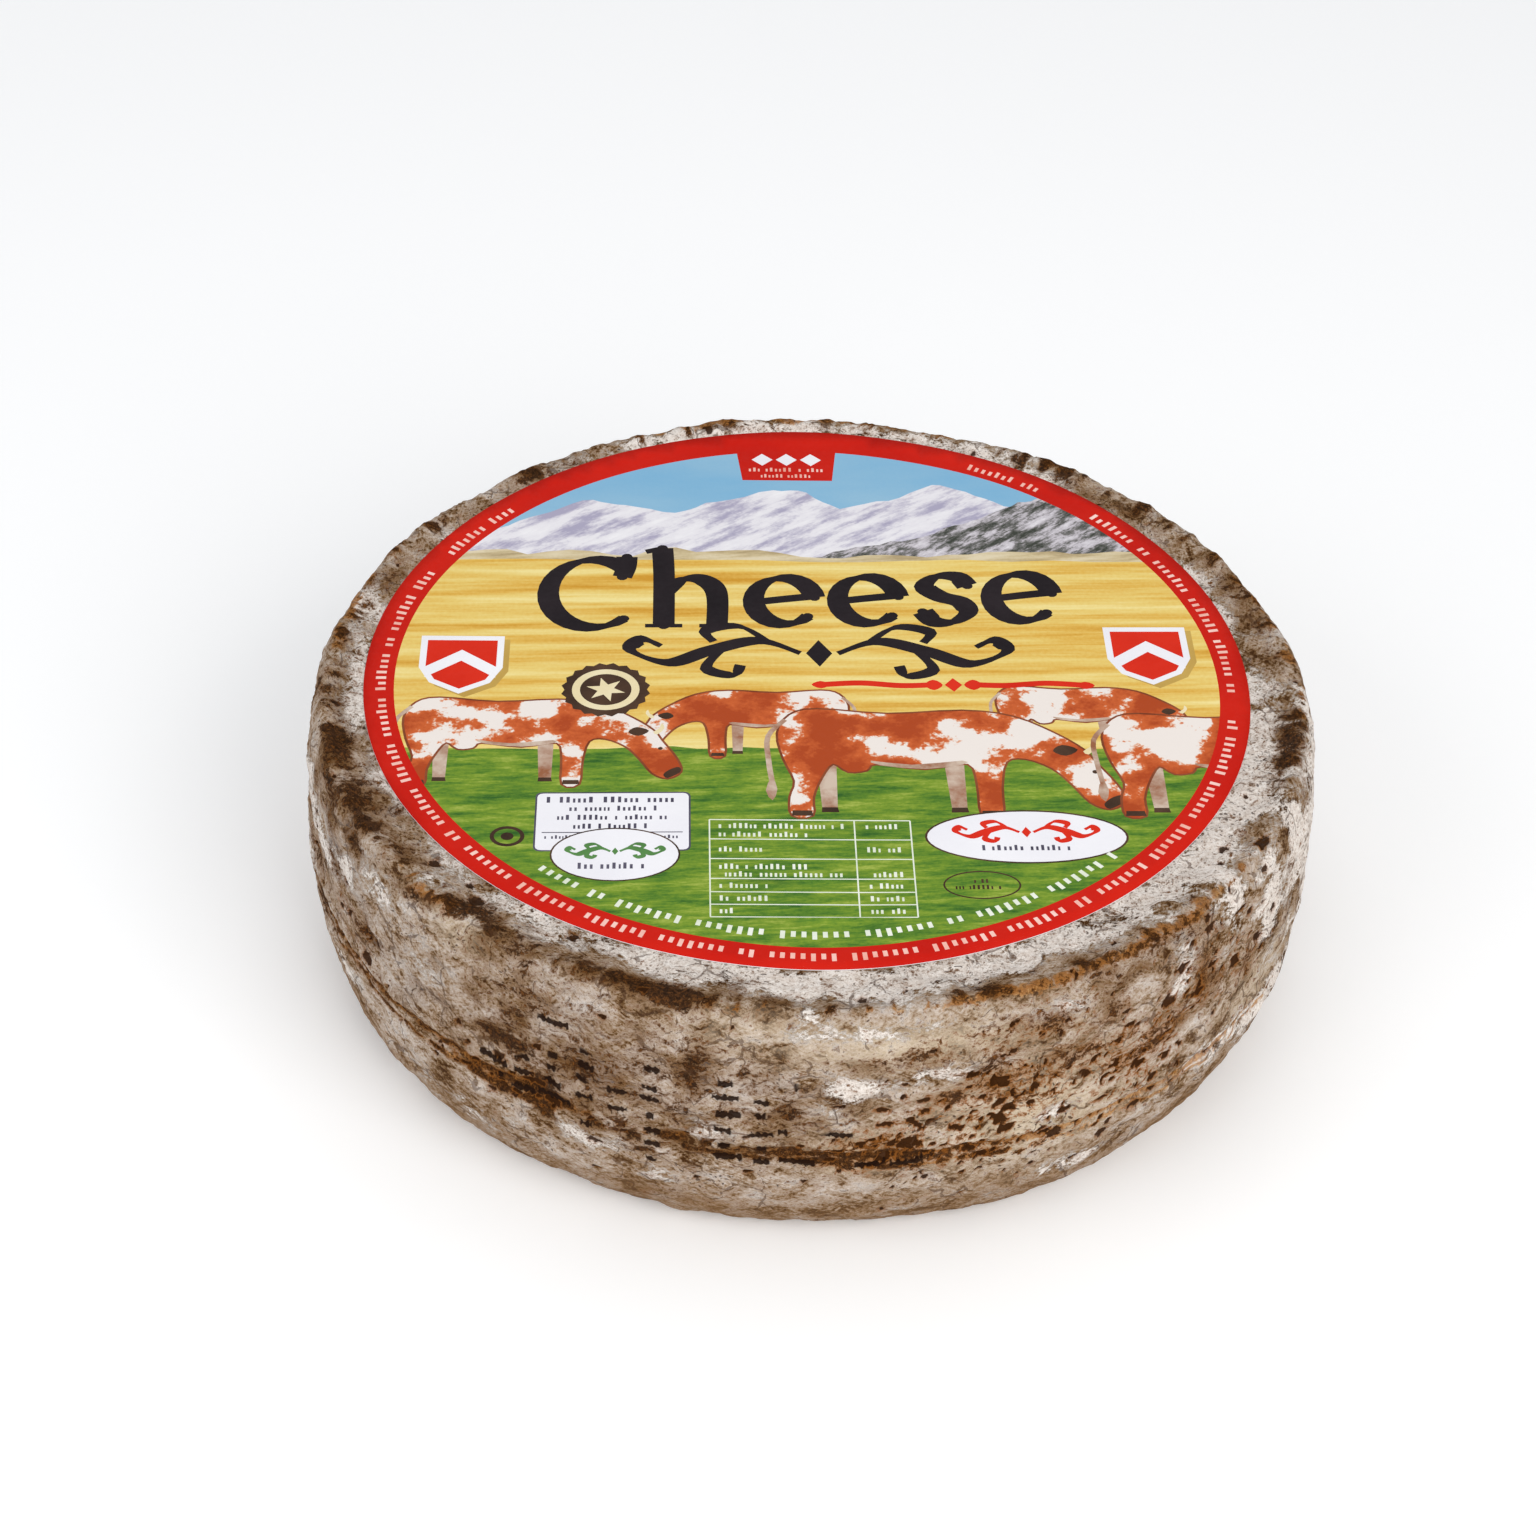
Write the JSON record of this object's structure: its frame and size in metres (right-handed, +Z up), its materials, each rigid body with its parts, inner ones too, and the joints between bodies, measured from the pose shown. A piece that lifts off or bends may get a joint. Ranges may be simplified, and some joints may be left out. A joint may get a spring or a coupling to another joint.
{
  "type": "cheese wheel",
  "caption": "Whole small mountain cheese wheel with a grey-brown mould rind and a round paper label on its upper face, resting on its flat base.",
  "frame": {"origin": "middle of the flat base that the wheel rests on", "axes": "+Z up along the wheel's axis; the label's picture reads upright when seen from -Y, with +X to the right"},
  "size_m": [0.2, 0.2, 0.057],
  "materials": {
    "rind": "matte",
    "label_paper": "satin"
  },
  "bodies": {
    "root": {"cheese_wheel": "rind", "paper_label": "label_paper"}
  },
  "joints": []
}
